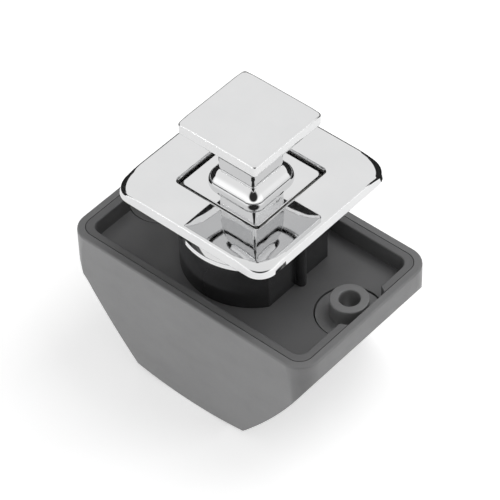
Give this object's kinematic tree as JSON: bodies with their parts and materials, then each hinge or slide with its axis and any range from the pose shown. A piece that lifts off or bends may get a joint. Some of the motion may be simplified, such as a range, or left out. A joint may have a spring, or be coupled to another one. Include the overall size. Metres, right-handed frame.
{
  "type": "pushbutton latch",
  "caption": "Pushbutton latch with a square chrome knob and rosette, a round guide core through the door and a grey case whose bolt slides out as the knob is pushed in.",
  "frame": {"origin": "on the knob's axis, in the plane of the case's rim, which is the plane of the door's inner face; midway between the two fixing holes", "axes": "+Z along the knob out of the door; +Y the way the latch bolt slides out; X along the long side of the case"},
  "size_m": [0.0782, 0.0517, 0.0812],
  "materials": {
    "case_grey": "fine matt moulding",
    "tray_grey": "fine matt moulding",
    "black_plastic": "satin moulding",
    "chrome": "polished plating",
    "white_plastic": "natural moulding",
    "plated_steel": "zinc plated",
    "spring_steel": "plain spring steel",
    "die_cast": "plated casting"
  },
  "bodies": {
    "case": {"cover": "case_grey", "tray": "tray_grey", "core": "black_plastic", "rosette": "chrome", "chassis": "black_plastic", "frame_screws": "plated_steel", "spring_washer": "plated_steel", "plunger_spring": "spring_steel", "leaf_spring": "spring_steel", "leaf_rivets": "plated_steel"},
    "button": {"knob": "chrome", "plunger": "white_plastic", "knob_screws": "plated_steel", "stop_clip": "spring_steel", "drive_pin": "plated_steel"},
    "latch_bolt": {"bolt": "die_cast"},
    "cam_follower": {"follower": "spring_steel", "pivot_washer": "plated_steel"}
  },
  "joints": [
    {"name": "knob_slide", "type": "slide", "parent": "case", "child": "button", "axis": [0, 0, -1], "range_m": [0, 0.018], "stiffness_N_per_m": 400, "springref_m": -0.015, "deforming": ["plunger_spring"]},
    {"name": "bolt_slide", "type": "slide", "parent": "case", "child": "latch_bolt", "axis": [0, 1, 0], "range_m": [0, 0.009]},
    {"name": "follower_swing", "type": "hinge", "parent": "case", "child": "cam_follower", "pos_m": [-0.0019, -0.0145, -0.029], "axis": [0, 1, 0], "range_deg": [0, 13.8]}
  ],
  "couplings": [
    {"joint": "bolt_slide", "follows": "knob_slide", "ratio": 0.5}
  ]
}
